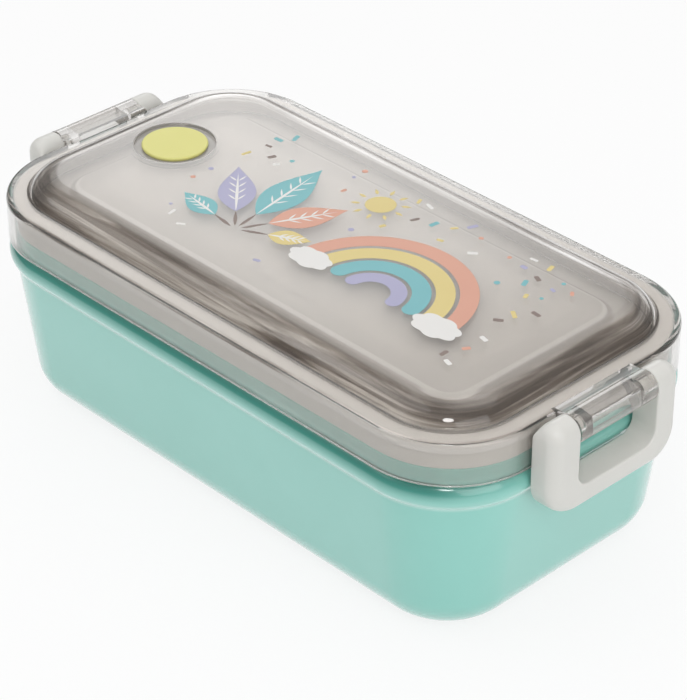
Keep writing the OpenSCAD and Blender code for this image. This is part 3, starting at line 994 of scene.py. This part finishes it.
def print_arches():
    """Three nested arches and a small one, with clouds at their feet, and a little sun."""
    for colour, outer, inner in ARCHES:
        stamp(colour, turned(arch(outer, inner, *ARCH_ENDS), *ARCH_CENTRE, 0))
    for shift, r in CLOUDS:
        place = (ARCH_CENTRE[0] + shift, ARCH_CENTRE[1] + 0.6)
        stamp("white", turned(puff(r, 7, 0.16, 0.62), *place, 0), 1)
    stamp("yellow", turned(puff(SUN_R, 2, 0.0), *SUN, 0))
    ray = [(RAY_START + u, v) for u, v in leaf(3.0, 1.1)]
    for k in range(RAYS):
        stamp("yellow", turned(ray, *SUN, 360 / RAYS * k))


def print_confetti():
    """Loose strips and dots round the motifs, clear of them and of one another."""
    dice = random.Random(CONFETTI_SEED)
    placed = 0
    while placed < CONFETTI:
        x = dice.uniform(*CONFETTI_X)
        y = dice.uniform(*CONFETTI_Y)
        if any(math.hypot(x - cx, y - cy) < r for cx, cy, r in busy):
            continue
        if placed % 4 == 0:
            shape = puff(dice.uniform(0.55, 0.95), 2, 0.0, steps=20)
        else:
            length = dice.uniform(2.0, 3.6)
            shape = chip(length, dice.uniform(1.0, 1.5))
        colour = CONFETTI_COLOURS[placed % len(CONFETTI_COLOURS)]
        stamp(colour, turned(shape, x, y, dice.uniform(0, 180)))
        busy.append((x, y, CONFETTI_GAP))
        placed += 1


print_leaves()
print_arches()
print_confetti()
for colour, shapes in prints.items():
    bm = bmesh.new()
    for outline, low, high in shapes:
        prism(bm, [(u, v, low) for u, v in outline], [(u, v, high) for u, v in outline])
    ink = dress(finish_mesh(bm, "print_" + colour), INK[colour])
    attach(ink or ink, "lid")


# ---------------------------------------------------------------- clips
def clip_stations():
    """Pairs of points (inner, outer) in (y, z), round the frame from arm top to arm top."""
    inner_corner = (FINGER_HALF - FINGER_R, BAR_TOP + FINGER_R)
    outer_corner = (CLIP_W / 2 - CLIP_CORNER, CLIP_LOW + CLIP_CORNER)
    inner = arc(inner_corner, FINGER_R, 0, -90, 14)
    outer = arc(outer_corner, CLIP_CORNER, 0, -90, 14)
    pairs = [((FINGER_HALF, PIVOT_Z), (CLIP_W / 2, PIVOT_Z))] + list(zip(inner, outer))
    return pairs + [((-i[0], i[1]), (-o[0], o[1])) for i, o in reversed(pairs)]


def clip_section(width):
    """Section of the frame as (way outwards, x): round outer front edge, blunted other edges."""
    back = BLUNT / 2
    return (
        arc((width - CLIP_EDGE, CLIP_FRONT - CLIP_EDGE), CLIP_EDGE, 0, 90, 14)
        + arc((BLUNT, CLIP_FRONT - BLUNT), BLUNT, 90, 180, 5)
        + arc((back, CLIP_BACK + back), back, 180, 270, 4)
        + arc((width - back, CLIP_BACK + back), back, 270, 360, 4)
    )


def clip_frame():
    """The two arms up to the pivot and the crossbar, as one bent bar."""
    bm = bmesh.new()
    rings = []
    for (iy, iz), (oy, oz) in clip_stations():
        width = math.hypot(oy - iy, oz - iz)
        dy, dz = (oy - iy) / width, (oz - iz) / width
        section = clip_section(width)
        rings.append([bm.verts.new((x, iy + dy * s, iz + dz * s)) for s, x in section])
    skin(bm, rings)
    return finish_mesh(bm, "clip_frame")


def arm_top(end):
    """Top of an arm: round about the pivot in front, and down to the frame's back behind."""
    half = CLIP_W / 2
    back_r = BLUNT / 2
    profile = (
        arc((ARM_R - BLUNT, FINGER_HALF + BLUNT), BLUNT, -90, 0, 5)
        + arc((ARM_R - CLIP_EDGE, half - CLIP_EDGE), CLIP_EDGE, 0, 90, 18)
    )
    quarter = [math.radians(6 * k) for k in range(1, 16)]
    bm = bmesh.new()
    rings = []
    for r, y in profile:
        into_edge = back_r - min(half - y, y - FINGER_HALF, back_r)
        inset = back_r - math.sqrt(max(0.0, back_r ** 2 - into_edge ** 2))
        depth = PIVOT_X - CLIP_BACK - inset
        front = arc((0, 0), r, -90, 90, 30)
        back = [(-depth * math.sin(t), r * math.cos(t)) for t in quarter]
        rings.append([bm.verts.new((PIVOT_X + u, end * y, PIVOT_Z + v)) for u, v in front + back])
    skin(bm, rings)
    return finish_mesh(bm, "arm_top")


def stub_pin(end):
    """Pin on the inside of an arm, turned about the pivot, with a chamfered tip."""
    tip = FINGER_HALF - PIN_L
    root = FINGER_HALF + OVERSHOOT
    bm = bmesh.new()
    rings = [[bm.verts.new((PIVOT_X, end * tip, PIVOT_Z))]]
    for r, y in ((PIN_R - PIN_CHAMFER, tip), (PIN_R, tip + PIN_CHAMFER), (PIN_R, root)):
        around = circle(0, 0, r, 40)
        rings.append([bm.verts.new((PIVOT_X + u, end * y, PIVOT_Z + v)) for u, v in around])
    rings.append([bm.verts.new((PIVOT_X, end * root, PIVOT_Z))])
    for a, b in zip(rings, rings[1:]):
        bridge(bm, a, b)
    return finish_mesh(bm, "pin")


def nose_outline():
    """Side view of the snap nose, which reaches under the tub's bead."""
    nose_x = BOX_L / 2 - WALL_IN + NOSE_R
    bead_x = BOX_L / 2 - CORNER + BEAD_X
    reach = BEAD_R + NOSE_R + END_GAP
    nose_z = BEAD_Z - math.sqrt(reach ** 2 - (nose_x - bead_x) ** 2)
    root = CLIP_BACK + OVERSHOOT
    tip = arc((nose_x, nose_z), NOSE_R, 90, 270, 20)
    return [(root, nose_z + NOSE_R)] + tip + [(root, nose_z - NOSE_R)]


def clip_piece(name, side):
    """A whole clip, for the right end (side 1) or turned round for the left end (side -1)."""
    clip = clip_frame()
    combine(clip, solid("nose", nose_outline(), -NOSE_HALF, NOSE_HALF, "Y"), "UNION")
    for end in (1, -1):
        combine(clip, arm_top(end), "UNION")
        combine(clip, stub_pin(end), "UNION")
    if side < 0:
        clip.data.transform(Matrix.Rotation(math.pi, 4, "Z"))
    clip.name = name
    return dress(even_normals(resharpen(clip)), CLIP)


for name, side in (("clip_right", 1), ("clip_left", -1)):
    clip = clip_piece(name + "_frame", side)
    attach(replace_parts(clip, name) or clip, name)

# ---------------------------------------------------------------- vent plug, kept from the CAD
dress(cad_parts["vent_plug"], PLUG)

# ---------------------------------------------------------------- floor
FLOOR_SIZE = 4.0
FLOOR_DROP = 0.0002
FLOOR_GREY = 0.92
FLOOR_ROUGH = 0.9
FLOOR_WHITE = 0.85  # share of plain white seen directly, through the lid and in reflections


def floor_material():
    """Pale floor that shows white to the camera and through the lid, and keeps the shadow."""
    mat, tree, bsdf = new_material("pale_floor")
    bsdf.inputs["Base Color"].default_value = (FLOOR_GREY, FLOOR_GREY, FLOOR_GREY, 1)
    bsdf.inputs["Roughness"].default_value = FLOOR_ROUGH
    glow = add(tree, "ShaderNodeEmission", Color=(1, 1, 1, 1), Strength=1.0)
    path = tree.nodes.new("ShaderNodeLightPath").outputs
    seen = math_node(tree, "MAXIMUM", path["Is Camera Ray"], path["Is Transmission Ray"])
    seen = math_node(tree, "MAXIMUM", seen, path["Is Glossy Ray"])
    share = math_node(tree, "MULTIPLY", seen, FLOOR_WHITE)
    surface = mix_shaders(tree, share, bsdf.outputs["BSDF"], glow.outputs["Emission"])
    feed(tree, tree.nodes["Material Output"].inputs["Surface"], surface)
    return mat


bm = bmesh.new()
bmesh.ops.create_grid(bm, x_segments=1, y_segments=1, size=FLOOR_SIZE)
floor_mesh = bpy.data.meshes.new("floor")
bm.to_mesh(floor_mesh)
bm.free()
floor = bpy.data.objects.new("floor", floor_mesh)
collection.objects.link(floor)
floor.location = (0, 0, -FLOOR_DROP)
floor.data.materials.append(floor_material())

# ---------------------------------------------------------------- light
SKY_FULL = 0.9  # height on the unit sphere from which the sky is at its brightest
SKY_STRENGTH = (0.22, 0.75)
# A soft bright patch behind the box, like a window: its direction, the cosine of its edge and
# how much it adds in its middle
PATCH_WAY = (-0.674, 0.637, 0.375)
PATCH_EDGE = 0.970
PATCH_GLOW = 2.3

LAMPS = (
    # name, place, height it points at over the middle, size, power, shape
    ("key", (-0.5, -0.5, 1.0), 0.03, 0.9, 2.0, "SQUARE"),
    ("fill", (0.9, -0.2, 0.5), 0.03, 0.7, 2.2, "SQUARE"),
    ("top", (0.1, 0.3, 1.1), 0.05, 0.8, 1.0, "SQUARE"),
    # makes the small highlight on the near corner of the dome
    ("glint", (0.628, -0.648, 1.06), 0.06, 0.27, 2.2, "DISK"),
)


def studio_world():
    """Soft light from above that fades towards the horizon, and plain white behind everything."""
    world = bpy.data.worlds.new("studio")
    scene.world = world
    world.use_nodes = True
    tree = world.node_tree
    way = tree.nodes.new("ShaderNodeTexCoord").outputs["Generated"]
    height = add(tree, "ShaderNodeSeparateXYZ", Vector=way).outputs["Z"]
    sky = add(tree, "ShaderNodeMapRange", Value=height, From_Min=0.0, From_Max=SKY_FULL,
              To_Min=SKY_STRENGTH[0], To_Max=SKY_STRENGTH[1])
    towards = vector_value(tree, "DOT_PRODUCT", way, PATCH_WAY)
    patch = add(tree, "ShaderNodeMapRange", Value=towards, From_Min=PATCH_EDGE, From_Max=1.0,
                To_Max=PATCH_GLOW)
    patch.interpolation_type = "SMOOTHERSTEP"
    strength = math_node(tree, "ADD", sky.outputs["Result"], patch.outputs["Result"])
    soft = tree.nodes["Background"]
    feed(tree, soft.inputs["Color"], (1, 1, 1, 1))
    feed(tree, soft.inputs["Strength"], strength)

    # Seen directly, or through the lid alone, it is plain white
    white = add(tree, "ShaderNodeBackground", Color=(1, 1, 1, 1), Strength=1.0)
    path = tree.nodes.new("ShaderNodeLightPath").outputs
    direct = math_node(tree, "LESS_THAN", path["Diffuse Depth"], 0.5)
    clear = math_node(tree, "MULTIPLY", path["Is Transmission Ray"], direct)
    seen = math_node(tree, "MAXIMUM", path["Is Camera Ray"], clear)
    surface = mix_shaders(tree, seen, soft.outputs["Background"], white.outputs["Background"])
    feed(tree, tree.nodes["World Output"].inputs["Surface"], surface)


def lamp(name, place, aim_z, size, power, shape):
    """An area lamp that points at the box's axis."""
    data = bpy.data.lights.new(name, "AREA")
    data.energy = power
    data.shape = shape
    data.size = size
    obj = bpy.data.objects.new(name, data)
    collection.objects.link(obj)
    obj.location = place
    way = Vector((0, 0, aim_z)) - Vector(place)
    obj.rotation_euler = way.to_track_quat("-Z", "Y").to_euler()


studio_world()
for row in LAMPS:
    lamp(*row)

# ---------------------------------------------------------------- camera
# Worked out from the outlines of the box: what it points at, its way round and up in degrees,
# its distance, and its lens in millimetres
CAM_TARGET = Vector((0.02541, -0.01975, 0.055))
CAM_ROUND = math.radians(46.137)
CAM_UP = math.radians(33.174)
CAM_DISTANCE = 0.76919
CAM_LENS = 142.52
CAM_SENSOR = 36.0

away = Vector((
    math.sin(CAM_ROUND) * math.cos(CAM_UP),
    -math.cos(CAM_ROUND) * math.cos(CAM_UP),
    math.sin(CAM_UP),
))
cam_data = bpy.data.cameras.new("camera")
cam_data.sensor_width = CAM_SENSOR
cam_data.lens = CAM_LENS
cam = bpy.data.objects.new("camera", cam_data)
collection.objects.link(cam)
cam.location = CAM_TARGET + away * CAM_DISTANCE
cam.rotation_euler = (-away).to_track_quat("-Z", "Y").to_euler()
scene.camera = cam
scene.view_settings.view_transform = "Standard"

bpy.context.view_layer.update()
